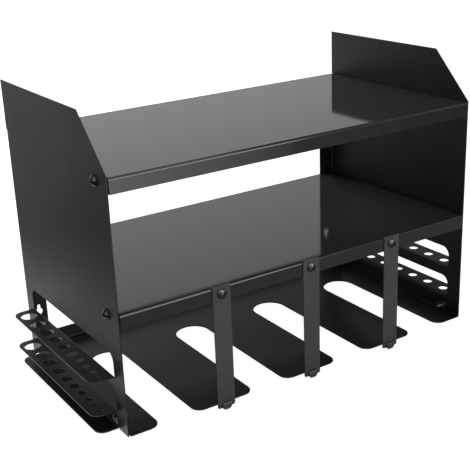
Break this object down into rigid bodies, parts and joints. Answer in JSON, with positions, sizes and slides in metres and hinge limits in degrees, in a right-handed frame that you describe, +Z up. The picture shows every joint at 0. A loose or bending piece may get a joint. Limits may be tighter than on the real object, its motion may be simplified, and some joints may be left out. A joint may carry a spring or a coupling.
{
  "type": "wall-mounted power tool organizer",
  "caption": "Wall-mounted sheet steel organizer with stacked shelves, a slotted plate for hanging power tools, front straps and bit racks on its side panels.",
  "frame": {"origin": "the middle of the four wall keyholes' round entries, on the wall plane", "axes": "+X to the right seen from the front, +Y into the wall, +Z up"},
  "size_m": [0.4456, 0.2203, 0.288],
  "materials": {
    "side_panels": "satin black powder coat",
    "shelves": "glossy black paint that mirrors its surroundings",
    "tool_plate": "satin black powder coat",
    "straps": "satin black powder coat",
    "screws": "glossy black oxide",
    "nuts": "black oxide"
  },
  "bodies": {
    "root": {"left_side_panel": "side_panels", "right_side_panel": "side_panels", "top_shelf": "shelves", "lower_shelf": "shelves", "tool_plate": "tool_plate", "left_strap": "straps", "middle_strap": "straps", "right_strap": "straps", "top_shelf_left_screw": "screws", "lower_shelf_left_screw": "screws", "tool_plate_left_screw": "screws", "top_shelf_right_screw": "screws", "lower_shelf_right_screw": "screws", "tool_plate_right_screw": "screws", "left_strap_screw": "screws", "middle_strap_screw": "screws", "right_strap_screw": "screws", "top_shelf_left_nut": "nuts", "lower_shelf_left_nut": "nuts", "tool_plate_left_nut": "nuts", "top_shelf_right_nut": "nuts", "lower_shelf_right_nut": "nuts", "tool_plate_right_nut": "nuts", "left_strap_nut": "nuts", "middle_strap_nut": "nuts", "right_strap_nut": "nuts"}
  },
  "joints": []
}
